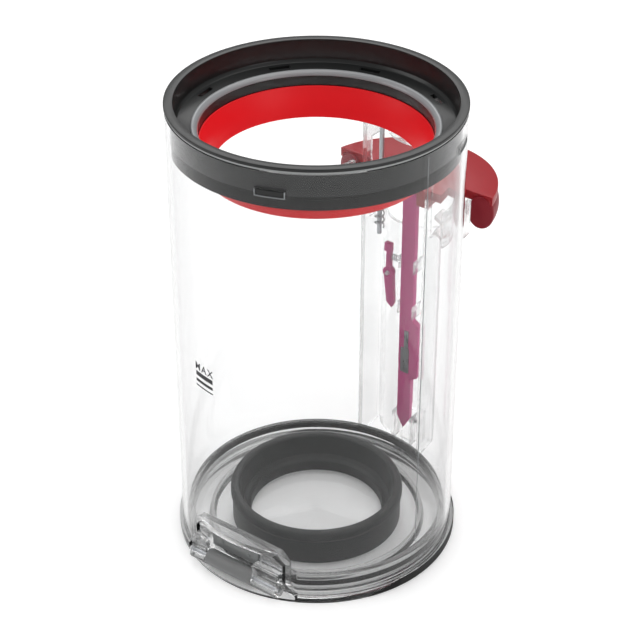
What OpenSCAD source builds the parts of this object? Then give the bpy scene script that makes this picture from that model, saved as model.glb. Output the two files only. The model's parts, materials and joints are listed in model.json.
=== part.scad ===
// Clear dust bin of a cordless stick vacuum cleaner.
// The origin is the centre of the base's underside, +Z runs up the bin's axis,
// the base's hinge is at -Y and the runner with its red release lever at +Y.

/* [Bin] */
// Height from the base's underside to the collar's rim
bin_h = 201.3; // [190:0.1:260]
// Outer diameter of the clear tube
tube_d = 117; // [105:0.5:140]
// Wall of the clear tube
tube_wall = 2; // [1.5:0.1:3]
// Gap between pieces that only pass each other
gap = 0.3; // [0.2:0.05:0.5]
// Radial clearance of a pin in its bore
pin_fit = 0.08; // [0.02:0.01:0.1]

/* [Collar] */
// Height of the rim's flange
rim_h = 1.3; // [1:0.1:3]
// Width of the rim's flat top
rim_w = 3.7; // [3:0.1:6]
// Height of the gasket under the rim
gasket_h = 1.1; // [0.8:0.1:2]
// Depth of the collar's skirt inside the tube
skirt_h = 15.6; // [12:0.1:25]
// Depth of the ledge below the rim
ledge_depth = 9.8; // [8:0.1:14]
// Width of the ledge
ledge_w = 5.3; // [4:0.1:8]
// How far the wiper's upper edge lies inside the tube's outer face
wiper_depth = 13.3; // [11.5:0.1:16.5]
// How far the wiper narrows towards its lower edge
wiper_taper = 4.8; // [2:0.1:8]
// Height of the wiper
wiper_h = 12.2; // [8:0.1:20]
// Number of slots in the ledge
ledge_slots = 8; // [4:1:8]
// Length of a slot in the ledge
slot_len = 8.6; // [5:0.1:10]

/* [Base] */
// Thickness of the base's floor
floor_t = 2.4; // [2:0.1:4]
// Thickness of the base's flange under the tube
flange_t = 3.8; // [3:0.1:6]
// How far the flange stands out from the tube
flange_out = 1.4; // [0.8:0.1:2.5]
// Height of the upstand inside the tube, from the base's underside
upstand_top = 11.6; // [9:0.1:16]
// How far the ridge on the floor lies inside the tube's outer face
ridge_depth = 13; // [11.5:0.1:14.5]
// Height of the centre seal, from the base's underside
seal_top = 18.6; // [14:0.1:26]
// Outer radius of the centre seal's lip
seal_r = 37.3; // [34:0.1:40]
// Radius of the centre seal's bore
seal_bore_r = 28.6; // [24:0.1:30]

/* [Hinge] */
// Width of the recess for the hinge
recess_w = 46; // [40:0.5:52]
// How far the recess's flat wall lies inside the tube's outer face
recess_depth = 6.9; // [6:0.1:7.5]
// Top of the recess
recess_top = 21; // [18:0.1:30]
// Height of the hinge pin
hinge_z = 5.2; // [5:0.1:6]
// Radius of the hinge's barrels
barrel_r = 3.6; // [3.2:0.1:3.8]
// Radius of the hinge pin
hinge_pin_r = 1.2; // [1:0.1:1.6]
// Left end of the base's barrel
knuckle_left = -14.6; // [-16:0.1:-10]
// Right end of the base's barrel
knuckle_right = 9.6; // [6:0.1:12]

/* [Runner] */
// Radius of the runner's hollow
trough_in = 17.2; // [14:0.1:18]
// How far the centre of the runner's hollow lies outside the tube
trough_out = 23.5; // [21.5:0.1:27.5]
// Wall of the runner
runner_wall = 1.8; // [1.4:0.1:2.4]
// Half of the runner's width, inside its side walls
runner_half = 15.6; // [15:0.1:17]
// Lower end of the runner
runner_low = 6; // [5:0.5:10]
// Upper end of the runner
runner_high = 172; // [164:0.5:178]
// How far the runner's side walls stand out from the tube
runner_deep = 13.5; // [11.5:0.1:15.5]

/* [Release lever] */
// Top of the lever's plate
lever_z = 140; // [132:0.5:146]
// Thickness of the lever's plate
lever_t = 4; // [3:0.1:5]
// Radius of the lever's plate
lever_r = 39.8; // [38:0.1:44]
// How far the centre of the lever's plate lies outside the tube
lever_out = 2.7; // [1.5:0.1:4.5]
// How far the front edge of the lever's plate lies outside the tube
front_out = 11.1; // [9.5:0.1:13.5]
// Width of a thumb pad
pad_w = 11.6; // [8:0.1:12]
// Height of a thumb pad
pad_h = 15; // [12:0.1:18]
// Travel of the lever
lever_travel = 8; // [6:0.1:8]
// Width of the release rod
rod_w = 7.2; // [6:0.1:8]
// Thickness of the release rod
rod_t = 3; // [2.4:0.1:3.2]
// Offset of the release rod from the runner's middle
rod_x = 5.8; // [5.4:0.1:6]
// Lowest point of the release rod
rod_tip_z = 15.7; // [14:0.1:20]

/* [Bin lock] */
// Offset of the lock lever's pivot from the runner's middle
lock_x = -5.2; // [-6:0.1:-5]
// Height of the lock lever's pivot
lock_z = 93.5; // [90:0.5:97]
// Length of the lock lever above its pivot
lock_up = 14.5; // [12:0.1:16]
// Length of the lock lever below its pivot
lock_down = 17; // [14:0.1:20]

/* [Hidden] */
$fn = 96;
// Cutters reach this far past what they cut.
past = 1;
clear_plastic = [0.85, 0.88, 0.9, 0.35];
dark_plastic = [0.22, 0.23, 0.23];
red_plastic = [0.72, 0.1, 0.13];
steel = [0.6, 0.62, 0.64];

tube_r = tube_d / 2;
tube_in = tube_r - tube_wall;
wiper_r = tube_r - wiper_depth;
ridge_r = tube_r - ridge_depth;
recess_y = tube_r - recess_depth;
trough_y = tube_r + trough_out;
runner_edge = tube_r + runner_deep;
lever_y = tube_r + lever_out;
lever_front = tube_r + front_out;
tube_low = flange_t + gap;
tube_top = bin_h - rim_h - gasket_h;
flange_r = tube_r + flange_out;

// Collar, from the rim inwards and downwards.
rim_r = tube_r + 0.2;
mouth_r = rim_r - rim_w;
ledge_z = bin_h - ledge_depth;
ledge_t = 2.3;
skirt_out = tube_in - 0.2;
skirt_step = 0.6;
skirt_wall = 1.5;
neck_r = skirt_out + 1;
neck_low = tube_top + 0.2;
ledge_slope = 1.3;
ledge_inset = 1;
gasket_low = tube_top + 0.1;
gasket_inset = 0.5;
skirt_low = tube_top - skirt_h;
skirt_step_z = ledge_z - 2.6;
lip_out = mouth_r - ledge_inset - ledge_w;
lip_in = wiper_r + 0.4;
lip_z = ledge_z - 1;
lip_slope = 1.2;
bead_drop = 0.6;
bead_rise = 1.1;
hub_wall = 2;
hub_root = ledge_z - ledge_t - 0.4;
hub_low = ledge_z - 7;
wiper_top = hub_low + 0.6;
wiper_low = wiper_top - wiper_h;
wiper_lip = 0.8;
wiper_edge = 0.4;
wiper_back = 1.3;
wiper_belt = 5.2;
slot_pitch = 42;
slot_first = 150;
slot_w = 1.6;
slot_y = -mouth_r + 2.6;
tab_count = 4;
tab_first = 20;
tab_w = 11.4;
tab_h = 2.5;
tab_root = 0.4;
tab_z = ledge_z - 2.8;

// Base: the upstand clears the tube and is cut flat beside the hinge's recess.
upstand_r = tube_in - 2 * gap;
upstand_wall = 2.7;
upstand_foot = 2.4;
edge_cut = 0.4;
flat_wall = 1.8;
recess_in = recess_y - flat_wall;
recess_roof = 1.6;
recess_chamfer = 4;
recess_flare = 4.6;
recess_spare = 0.2;
recess_flare_top = tube_low + 5.5;
flat_y = recess_in - gap;
lip_t = 1.2;
knuckle_foot = lip_t + 0.4;
notch_half = 28.5;
notch_y = recess_in + 1;
ridge_top = 6.2;
ridge_foot = 1.6;
ridge_crest = 0.7;
foot_relief = 0.8;
foot_in = 30;
foot_out = tube_r - 3;
edge_seal_t = 0.5;
edge_seal_z = flange_t + 3.4;
edge_seal_h = 2.2;
upstand_flat = flat_y - edge_seal_t - 0.1;

// Centre seal.
seal_wall_r = seal_r - 0.7;
lip_under = seal_top - 4.8;
seal_round = 0.8;
seal_taper = 1.3;
seal_cut = 1.2;
seal_mouth_r = seal_r - 4;
seal_step_z = 8.6;
retainer_in = seal_bore_r + 4.6;
retainer_wall = 1.8;
retainer_top = floor_t + 6.4;

// Hinge: the pin runs along X.
hinge_y = -(recess_y + gap + barrel_r);
hinge_half = recess_w / 2 - gap - 0.1;
ear_high = 13.5;
ear_out = 2;
pad_low = hinge_z + barrel_r + 1.2;
pad_high = recess_top - recess_chamfer;
hinge_pad_t = 1.4;
pad_stud_in = 5;
pad_stud_r = 0.9;
pad_stud_h = 0.4;

// Runner.
runner_out = runner_half + runner_wall;
runner_root = tube_r - 6;
trough_r = trough_in + runner_wall;
window_low = lever_z - lever_t - lever_travel - 10;
window_high = lever_z + 16;
window_y = tube_r + 2.1;
shelf_low = window_low - 8;
shelf_t = 3;
post_x = -12;
post_y = tube_r + 3.8;
post_r = 1.1;
shelf_in = 8.5;
shelf_high = window_high + 2;
shelf_edge = post_y + 4;
post_top = shelf_high + shelf_t;
post_tip = 0.5;

// Release lever and rod.
hub_half = runner_half - gap;
hub_t = 8;
spring_r = 2.1;
spring_wire = 0.35;
hub_y = tube_r + 0.7;
arm_half = 22;
arm_y = window_y + gap;
pad_bulge = 0.8;
pad_ahead = 0.8;
pad_drop = 1;
pad_r = lever_r + pad_bulge - pad_w / 2;
pad_z = lever_z - pad_drop - pad_h / 2;
pad_start = asin((lever_front - pad_ahead - lever_y) / pad_r);
pad_sweep = 25;
pad_sides = 32;
ear_in = arm_half + 0.6;
ear_low = lever_z - 18;
ear_top = lever_z - 2;
ear_t = 1.8;
ear_r = lever_r - 8.5;
ear_y = lever_y - 1;
ear_front = lever_front - pad_ahead - 2.3;
ear_rib_first = 3;
ear_rib_second = 10;
ear_rib_t = 1.6;
ear_rib_in = 14.5;
rod_y = tube_r + 0.7;
rod_top = lever_z - lever_t + 1;
rod_point = 6;
tip_face = 1.4;
tip_rise = 3;
tip_relief = 0.5;
tip_relief_top = 29;
fin_w = 3.4;
fin_low = 43;
fin_high = 72;
fin_slope = 2;
clip_low = 46;
clip_neck = 58.6;
clip_high = 67.8;
clip_wide = 4.4;
clip_narrow = 2.2;
clip_t = 0.7;
clip_deep = 0.5;
clip_off = 0.6;
guide_zs = [76, 98.8];
guide_h = 6;
guide_wall = 0.9;
guide_in = rod_w / 2 + gap;

// Bin lock: a lever on a pin along Y.
lock_y = tube_r + 1.2;
lock_t = 2.4;
lock_boss_r = 2.8;
lock_pin_r = 1;
lock_face = lock_y + lock_t + gap;
lock_cap_r = 2.2;
lock_cap_t = 0.7;
lock_head_w = 3.6;
lock_head_h = 4.2;
lock_neck_w = 2.2;
lock_head_off = 0.4;
lock_toe = 0.5;
lock_toe_rise = 2.3;
lock_spring_r = 1.3;
lock_wire = 0.2;
lock_spring_z = lock_z + 8.2;

// Base catch: a rocker on a pin along X, under the rod's tip.
rocker_y = rod_y + rod_t + 0.4;
rocker_t = 1.4;
rocker_half = 2.8;
rocker_low = flange_t + 0.5;
catch_z = 18.8;
catch_pin_r = 0.7;
catch_boss_r = 1.4;
catch_y = rod_y + rod_t - tip_relief + gap + catch_boss_r;
nose_h = 1.3;
catch_spring_r = 1.15;
catch_wire = 0.18;
ramp_low = 8;
ramp_high = 11.2;
ramp_in = 1.3;
striker_h = 2.7;
striker_half = 3.4;
striker_side = 1.2;
striker_wall = 1.6;
striker_foot = 1;
striker_roof = 0.8;
striker_in = tube_r - 2;
striker_out = flange_r + 0.8;
cheek_in = rod_w / 2 + 0.9;
cheek_t = 1.4;
cheek_low = 8.6;
cheek_top = 23;
cheek_out_x = cheek_in + cheek_t;
catch_zone_half = cheek_out_x + gap;
cheek_out = trough_y - trough_in - 0.2;

// A closed tube of round wire along a helix: its axis is Z and it starts at z = 0.
function coil_ring(r, wire, a, z, sides) =
    [for (i = [0:sides - 1]) let (b = 360 * i / sides, q = r + wire * cos(b))
        [q * cos(a), q * sin(a), z + wire * sin(b)]];
module coil(r, wire, turns, h, sides = 6, per_turn = 14) {
    steps = turns * per_turn;
    rings = [for (k = [0:steps])
        coil_ring(r, wire, 360 * k / per_turn, wire + (h - 2 * wire) * k / steps, sides)];
    points = [for (ring = rings) for (p = ring) p];
    walls = [for (k = [0:steps - 1]) for (i = [0:sides - 1])
        let (a = k * sides + i, b = k * sides + (i + 1) % sides)
        [a, a + sides, b + sides, b]];
    ends = [[for (i = [0:sides - 1]) i], [for (i = [sides - 1:-1:0]) steps * sides + i]];
    polyhedron(points, concat(walls, ends), convexity = 6);
}

// A ring between two radii, from one height to another.
module ring(r_out, r_in, low, high) {
    translate([0, 0, low]) linear_extrude(high - low) difference() {
        circle(r = r_out);
        circle(r = r_in);
    }
}

// A box given by its lowest and highest corners.
module block(low, high) {
    translate(low) cube(high - low);
}

// A cylinder along X between two places.
module bar_x(r, x0, x1, y, z) {
    translate([x0, y, z]) rotate([0, 90, 0]) cylinder(r = r, h = x1 - x0);
}

// A cylinder along Y between two places.
module bar_y(r, x, y0, y1, z) {
    translate([x, y0, z]) rotate([-90, 0, 0]) cylinder(r = r, h = y1 - y0);
}

// A disc whose side towards the hinge is cut flat.
module flat_disc(r, flat) {
    difference() {
        circle(r = r);
        translate([-r - past, -r - past]) square([2 * r + 2 * past, r + past - flat]);
    }
}

// The recess's outline, seen from the hinge side.
module recess_shape() {
    half = recess_w / 2;
    polygon([[-half - recess_flare, tube_low - past], [-half - recess_flare, tube_low],
        [-half, recess_flare_top], [-half, recess_top - recess_chamfer],
        [-half + recess_chamfer, recess_top], [half - recess_chamfer, recess_top],
        [half, recess_top - recess_chamfer], [half, recess_flare_top],
        [half + recess_flare, tube_low], [half + recess_flare, tube_low - past]]);
}

// The two ears that hold the hinge pin, left and right of the base's barrel.
module hinge_ear(x0, x1) {
    difference() {
        union() {
            bar_x(barrel_r, x0, x1, hinge_y, hinge_z);
            block([x0, hinge_y - ear_out, hinge_z], [x1, -recess_y, ear_high]);
        }
        bar_x(hinge_pin_r, x0 - past, x1 + past, hinge_y, hinge_z);
    }
}

module bin_tube() color(clear_plastic) {
    half = recess_w / 2 + recess_flare + recess_spare;
    difference() {
        union() {
            ring(tube_r, tube_in, tube_low, tube_top);
            intersection() {
                translate([0, 0, tube_low]) cylinder(r = tube_r, h = recess_top);
                block([-half, -tube_r, tube_low], [half, -recess_in, recess_top + recess_roof]);
            }
        }
        translate([0, -recess_y, 0]) rotate([90, 0, 0]) linear_extrude(tube_r) recess_shape();
        for (i = [0:tab_count - 1])
            rotate([0, 0, tab_first + i * 360 / tab_count])
                block([-tab_w / 2 - gap, -tube_r - past, tab_z - gap],
                    [tab_w / 2 + gap, -tube_in + past, tab_z + tab_h + gap]);
    }
    hinge_ear(-hinge_half, knuckle_left - gap);
    hinge_ear(knuckle_right + gap, hinge_half);
}

module collar_ring() color(dark_plastic) {
    difference() {
        rotate_extrude() polygon([[mouth_r, bin_h], [rim_r, bin_h], [rim_r, bin_h - rim_h],
            [neck_r, bin_h - rim_h], [neck_r, neck_low],
            [skirt_out, neck_low], [skirt_out, skirt_step_z],
            [skirt_out - skirt_step, skirt_step_z], [skirt_out - skirt_step, skirt_low],
            [skirt_out - skirt_step - skirt_wall, skirt_low],
            [skirt_out - skirt_step - skirt_wall, ledge_z - ledge_t],
            [lip_in + hub_wall, hub_root], [lip_in + hub_wall, hub_low],
            [lip_in, hub_low], [lip_in, lip_z - lip_slope], [lip_out, lip_z],
            [mouth_r - ledge_inset, ledge_z], [mouth_r, ledge_z + ledge_slope]]);
        for (i = [0:ledge_slots - 1])
            rotate([0, 0, slot_first + i * slot_pitch])
                block([-slot_len / 2, slot_y, ledge_z - ledge_t - past],
                    [slot_len / 2, slot_y + slot_w, ledge_z + past]);
    }
    for (i = [0:tab_count - 1])
        rotate([0, 0, tab_first + i * 360 / tab_count])
            intersection() {
                ring(tube_r - gap, skirt_out - tab_root, tab_z, tab_z + tab_h);
                block([-tab_w / 2, -tube_r, tab_z], [tab_w / 2, 0, tab_z + tab_h]);
            }
}

// A rounded bead that lies on the ledge's inner edge.
module collar_lip() color([0.68, 0.69, 0.7]) {
    arc = [for (a = [0:15:180]) [(lip_out + lip_in) / 2 + (lip_out - lip_in) / 2 * cos(a),
        lip_z - bead_drop * (1 - cos(a)) + bead_rise * sin(a)]];
    rotate_extrude() polygon(arc);
}

module collar_gasket() color([0.6, 0.61, 0.61])
    ring(rim_r - gasket_inset, neck_r, gasket_low, bin_h - rim_h);

module wiper_collar() color([0.86, 0.12, 0.15])
    rotate_extrude() polygon([[lip_in, wiper_top], [wiper_r, wiper_top],
        [wiper_r - wiper_taper, wiper_low + wiper_edge],
        [wiper_r - wiper_taper + wiper_lip, wiper_low], [wiper_r, wiper_low + wiper_back],
        [lip_in + hub_wall, wiper_low + wiper_belt], [lip_in + hub_wall, hub_low],
        [lip_in, hub_low]]);

// The spaces that the runner's hollow, the catch and the lever's hub keep free.
module runner_voids() {
    translate([0, trough_y, runner_low - past])
        cylinder(r = trough_in, h = runner_high - runner_low + 2 * past);
    block([-runner_out - past, window_y, window_low],
        [runner_out + past, trough_y, window_high]);
    block([rod_x - catch_zone_half, tube_r + gap, runner_low - past],
        [rod_x + catch_zone_half, trough_y, cheek_top + gap]);
}

module runner_rail() color(clear_plastic) {
    difference() {
        union() {
            for (side = [-1, 1])
                block([side > 0 ? runner_half : -runner_out, runner_root, runner_low],
                    [side > 0 ? runner_out : -runner_half, runner_edge, runner_high]);
            intersection() {
                translate([0, trough_y, runner_low])
                    cylinder(r = trough_r, h = runner_high - runner_low);
                block([-runner_out, 0, runner_low], [runner_out, runner_edge, runner_high]);
            }
            for (z = [shelf_low, shelf_high])
                block([-runner_half, runner_root, z], [-shelf_in, shelf_edge, z + shelf_t]);
        }
        runner_voids();
        translate([0, 0, runner_low - past])
            cylinder(r = tube_r, h = runner_high - runner_low + 2 * past);
        translate([post_x, post_y, shelf_low]) cylinder(r = post_r, h = post_top);
    }
}

module rod_guides() color(clear_plastic)
    difference() {
        for (z = guide_zs, side = [-1, 1])
            translate([rod_x + side * (guide_in + guide_wall / 2), 0, 0])
                block([-guide_wall / 2, runner_root, z], [guide_wall / 2, trough_y, z + guide_h]);
        cylinder(r = tube_r, h = bin_h);
        translate([0, trough_y, 0]) cylinder(r = trough_r, h = bin_h);
    }

module spring_post() color(steel) {
    translate([post_x, post_y, shelf_low]) cylinder(r = post_r, h = post_top - shelf_low);
    translate([post_x, post_y, post_top]) cylinder(r1 = post_r, r2 = post_r - post_tip, h = post_tip);
}

// Curved clear guards below the ends of the lever, each on two ribs.
module lever_ears() color(clear_plastic)
    for (side = [0, 1]) mirror([side, 0, 0])
        difference() {
            union() {
                intersection() {
                    translate([0, ear_y, 0]) ring(ear_r, ear_r - ear_t, ear_low, ear_top);
                    block([ear_in, 0, ear_low], [lever_r, ear_front, ear_top]);
                }
                for (z = [ear_low + ear_rib_first, ear_low + ear_rib_second])
                    block([ear_in, tube_r - ear_rib_in, z], [ear_r - 0.6, ear_y + 1.8, z + ear_rib_t]);
            }
            cylinder(r = tube_r, h = bin_h);
        }

module hinge_pin() color(steel)
    bar_x(hinge_pin_r, -hinge_half, hinge_half, hinge_y, hinge_z);

module hinge_pad() color([0.5, 0.5, 0.5]) {
    block([knuckle_left, -recess_y - hinge_pad_t, pad_low],
        [knuckle_right, -recess_y, pad_high]);
    for (x = [knuckle_left + pad_stud_in, knuckle_right - pad_stud_in])
        bar_y(pad_stud_r, x, -recess_y - hinge_pad_t - pad_stud_h, -recess_y - hinge_pad_t,
            (pad_low + pad_high) / 2);
}

module lock_pin() color(clear_plastic) {
    difference() {
        bar_y(lock_pin_r, lock_x, tube_r - past, lock_face, lock_z);
        cylinder(r = tube_r, h = bin_h);
    }
    bar_y(lock_cap_r, lock_x, lock_face, lock_face + lock_cap_t, lock_z);
}

module catch_housing() color(clear_plastic)
    difference() {
        for (side = [-1, 1])
            translate([rod_x + side * (cheek_in + cheek_t / 2), 0, 0])
                block([-cheek_t / 2, runner_root, cheek_low], [cheek_t / 2, cheek_out, cheek_top]);
        cylinder(r = tube_r, h = bin_h);
        bar_x(catch_pin_r, rod_x - cheek_out_x, rod_x + cheek_out_x, catch_y, catch_z);
    }

module catch_pin() color(steel)
    bar_x(catch_pin_r, rod_x - cheek_out_x, rod_x + cheek_out_x, catch_y, catch_z);

module base_door() color(clear_plastic) {
    difference() {
        union() {
            rotate_extrude() polygon([[0, 0], [foot_in, 0], [foot_in + foot_relief, foot_relief],
                [foot_out - foot_relief, foot_relief], [foot_out, 0], [flange_r - edge_cut, 0],
                [flange_r, edge_cut], [flange_r, flange_t - edge_cut], [flange_r - edge_cut, flange_t],
                [upstand_r - upstand_wall, flange_t],
                [upstand_r - upstand_wall - upstand_foot, floor_t],
                [ridge_r + ridge_foot, floor_t], [ridge_r + ridge_crest, ridge_top - edge_cut],
                [ridge_r, ridge_top], [ridge_r - ridge_crest, ridge_top - edge_cut],
                [ridge_r - ridge_foot, floor_t], [0, floor_t]]);
            translate([0, 0, floor_t]) linear_extrude(upstand_top - floor_t) difference() {
                flat_disc(upstand_r, upstand_flat);
                flat_disc(upstand_r - upstand_wall, flat_y - upstand_wall);
            }
            block([rod_x - striker_half - striker_side, 0, 0],
                [rod_x + striker_half + striker_side, striker_out, flange_t]);
        }
        block([-notch_half, -flange_r - past, lip_t], [notch_half, -notch_y, flange_t + past]);
        translate([0, 0, floor_t]) cylinder(r = ridge_r - ridge_foot, h = flange_t);
    }
}

module door_knuckle() color([0.4, 0.4, 0.4])
    difference() {
        union() {
            bar_x(barrel_r, knuckle_left, knuckle_right, hinge_y, hinge_z);
            block([knuckle_left, hinge_y, knuckle_foot], [knuckle_right, -notch_y, flange_t]);
        }
        bar_x(hinge_pin_r + pin_fit, knuckle_left - past, knuckle_right + past, hinge_y, hinge_z);
    }

module centre_seal() color([0.3, 0.31, 0.31])
    difference() {
        rotate_extrude() polygon([[seal_bore_r, floor_t], [seal_wall_r, floor_t],
            [seal_wall_r, lip_under], [seal_r, lip_under + seal_round],
            [seal_r, seal_top - 2 * seal_round], [seal_r - seal_round / 2, seal_top - seal_round / 2],
            [seal_r - 2 * seal_round, seal_top],
            [seal_mouth_r + seal_round, seal_top], [seal_mouth_r, seal_top - seal_round],
            [seal_mouth_r - seal_taper, seal_step_z + seal_round],
            [seal_bore_r + seal_cut, seal_step_z], [seal_bore_r, seal_step_z - seal_cut]]);
        ring(retainer_in + retainer_wall, retainer_in, floor_t - past, retainer_top);
    }

module seal_retainer() color([0.75, 0.76, 0.77])
    ring(retainer_in + retainer_wall, retainer_in, floor_t, retainer_top);

module edge_seal() color([0.05, 0.05, 0.05])
    translate([0, 0, edge_seal_z]) linear_extrude(edge_seal_h) difference() {
        flat_disc(upstand_r + edge_seal_t, upstand_flat + edge_seal_t);
        flat_disc(upstand_r, upstand_flat);
    }

module door_striker() color(steel)
    difference() {
        block([rod_x - striker_half, striker_in, flange_t],
            [rod_x + striker_half, striker_out, flange_t + striker_h]);
        cylinder(r = tube_r + gap, h = bin_h);
        block([rod_x - striker_half + striker_wall, striker_in - past, flange_t + striker_foot],
            [rod_x + striker_half - striker_wall, striker_out + past,
                flange_t + striker_h - striker_roof]);
    }

// The plate with its round outer edge and the arm that carries it into the runner.
module lever_plate() {
    translate([0, 0, lever_z - lever_t]) linear_extrude(lever_t) {
        intersection() {
            translate([0, lever_y]) circle(r = lever_r);
            translate([-lever_r, lever_front]) square([2 * lever_r, lever_r]);
        }
        translate([-arm_half, arm_y]) square([2 * arm_half, lever_front - arm_y + 0.1]);
    }
}

// An upright oval, the outline of a thumb pad's end. The pads stand a little ahead of the plate.
function pad_point(a) = [pad_r + pad_w / 2 * cos(a), pad_z + pad_h / 2 * sin(a)];

module pad_shape() {
    for (side = [0, 1]) mirror([side, 0, 0])
        translate([0, lever_y, 0]) rotate([0, 0, pad_start])
            rotate_extrude(angle = pad_sweep)
                polygon([for (i = [0:pad_sides - 1]) pad_point(360 * i / pad_sides)]);
}

module release_lever() color(red_plastic)
    difference() {
        union() {
            lever_plate();
            block([-hub_half, hub_y, lever_z - hub_t], [hub_half, lever_front, lever_z]);
        }
        pad_shape();
        rod_seat();
        translate([post_x, post_y, 0]) cylinder(r = post_r + pin_fit, h = bin_h);
        cylinder(r = hub_y - 0.2, h = bin_h);
    }

// The rod's top end fills this slot in the lever's hub.
module rod_seat() {
    block([rod_x - rod_w / 2, rod_y - past, 0], [rod_x + rod_w / 2, rod_y + rod_t, rod_top]);
}

module thumb_pads() color([0.5, 0.1, 0.14]) pad_shape();

module release_rod() color(red_plastic) {
    difference() {
        translate([rod_x, rod_y + rod_t, 0]) rotate([90, 0, 0]) linear_extrude(rod_t)
            polygon([[0, rod_tip_z], [rod_w / 2, rod_tip_z + rod_point],
                [rod_w / 2, fin_low], [rod_w / 2 + fin_w, fin_low + fin_slope],
                [rod_w / 2 + fin_w, fin_high], [rod_w / 2, fin_high + fin_slope],
                [rod_w / 2, rod_top], [-rod_w / 2, rod_top],
                [-rod_w / 2, rod_tip_z + rod_point]]);
        clip_shape(rod_y - past, rod_y + clip_deep);
        block([rod_x - rod_w, rod_y + rod_t - tip_relief, 0],
            [rod_x + rod_w, rod_y + rod_t + past, tip_relief_top]);
        translate([rod_x - rod_w / 2 - past, rod_y + rod_t - tip_relief, rod_tip_z])
            rotate([90, 0, 90]) linear_extrude(rod_w + 2 * past)
                polygon([[past, -past], [past, tip_rise], [0, tip_rise], [-tip_face, -past]]);
    }
}

// The clip's keyhole outline between two distances from the bin's axis.
module clip_shape(y0, y1) {
    block([rod_x - clip_wide / 2, y0, clip_low], [rod_x + clip_wide / 2, y1, clip_neck]);
    block([rod_x - clip_narrow / 2 + clip_off, y0, clip_neck],
        [rod_x + clip_narrow / 2 + clip_off, y1, clip_high]);
}

module rod_clip() color(steel)
    clip_shape(rod_y + clip_deep - clip_t, rod_y + clip_deep);

module return_spring() color(steel)
    translate([post_x, post_y, shelf_low + shelf_t])
        coil(spring_r, spring_wire, 6, lever_z - hub_t - shelf_low - shelf_t);

module lock_lever() color(red_plastic)
    translate([lock_x, lock_y + lock_t, lock_z]) rotate([90, 0, 0]) difference() {
        linear_extrude(lock_t) union() {
            circle(r = lock_boss_r);
            translate([-lock_neck_w / 2, 0]) square([lock_neck_w, lock_up]);
            translate([-lock_head_w / 2 - lock_head_off, lock_up - lock_head_h])
                square([lock_head_w, lock_head_h]);
            polygon([[-lock_toe, lock_toe_rise - lock_down], [lock_boss_r - lock_toe, -lock_down],
                [lock_boss_r + lock_toe, lock_toe_rise - lock_down],
                [lock_boss_r - gap, lock_toe], [-lock_boss_r + gap, lock_toe]]);
        }
        translate([0, 0, -past]) cylinder(r = lock_pin_r + pin_fit, h = lock_t + 2 * past);
    }

module lock_spring() color(steel)
    translate([lock_x + lock_neck_w / 2 + gap, lock_y + lock_spring_r, lock_spring_z])
        rotate([0, 90, 0])
            coil(lock_spring_r, lock_wire, 4,
                rod_x - guide_in - guide_wall - lock_x - lock_neck_w / 2 - gap);

// The rocker's nose reaches towards the striker; the ramp is what the rod's tip pushes.
module catch_rocker() color([0.8, 0.82, 0.84, 0.6])
    difference() {
        union() {
            block([rod_x - rocker_half, rocker_y, rocker_low],
                [rod_x + rocker_half, rocker_y + rocker_t, catch_z]);
            bar_x(catch_boss_r, rod_x - rocker_half, rod_x + rocker_half, catch_y, catch_z);
            block([rod_x - rocker_half, striker_out + gap, rocker_low],
                [rod_x + rocker_half, rocker_y, rocker_low + nose_h]);
            block([rod_x - rocker_half, rocker_y - ramp_in, ramp_low],
                [rod_x + rocker_half, rocker_y, ramp_high]);
        }
        bar_x(catch_pin_r + pin_fit, rod_x - cheek_out_x, rod_x + cheek_out_x, catch_y, catch_z);
    }

module catch_spring() color(steel)
    translate([rod_x + rocker_half + gap / 2, catch_y, catch_z]) rotate([0, 90, 0])
        coil(catch_spring_r, catch_wire, 3, cheek_in - rocker_half - gap);

bin_tube();
collar_ring();
collar_lip();
collar_gasket();
wiper_collar();
runner_rail();
rod_guides();
spring_post();
lever_ears();
hinge_pin();
hinge_pad();
lock_pin();
catch_housing();
catch_pin();
base_door();
door_knuckle();
centre_seal();
seal_retainer();
edge_seal();
door_striker();
release_lever();
thumb_pads();
release_rod();
rod_clip();
return_spring();
lock_lever();
lock_spring();
catch_rocker();
catch_spring();
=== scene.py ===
# %% [markdown]
# # A clear dust bin, built around its CAD frame
# This lesson dresses the working model of a vacuum cleaner's dust bin: a clear tube with a dark collar,
# a red wiper, a hinged base and a red release lever. The CAD frame says where every piece is and how it
# moves; the cells below give each piece its soft edges, its finish and the small details.
# All lengths are in metres, in the frame's own axes: +Z up the bin, the hinge at -Y, the lever at +Y.

import json
import math

import bpy
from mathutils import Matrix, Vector


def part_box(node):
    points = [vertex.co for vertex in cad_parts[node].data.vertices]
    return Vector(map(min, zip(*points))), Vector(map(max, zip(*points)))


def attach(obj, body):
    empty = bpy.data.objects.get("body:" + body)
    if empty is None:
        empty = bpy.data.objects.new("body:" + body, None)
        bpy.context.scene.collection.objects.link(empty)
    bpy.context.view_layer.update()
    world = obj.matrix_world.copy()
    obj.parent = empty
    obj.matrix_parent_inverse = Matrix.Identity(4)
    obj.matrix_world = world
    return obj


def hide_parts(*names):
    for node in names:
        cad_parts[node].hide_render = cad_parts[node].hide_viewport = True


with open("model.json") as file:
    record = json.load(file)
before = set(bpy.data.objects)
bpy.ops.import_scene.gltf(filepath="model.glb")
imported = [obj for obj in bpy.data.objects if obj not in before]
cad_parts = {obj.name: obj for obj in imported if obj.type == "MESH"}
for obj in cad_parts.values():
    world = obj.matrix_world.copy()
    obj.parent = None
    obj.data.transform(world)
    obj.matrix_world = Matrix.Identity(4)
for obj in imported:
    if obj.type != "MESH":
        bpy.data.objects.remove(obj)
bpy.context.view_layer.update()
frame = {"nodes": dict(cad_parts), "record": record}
MM = 0.001
SLIVER = 0.02 * MM  # keeps faces apart that would otherwise lie in one plane

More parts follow.
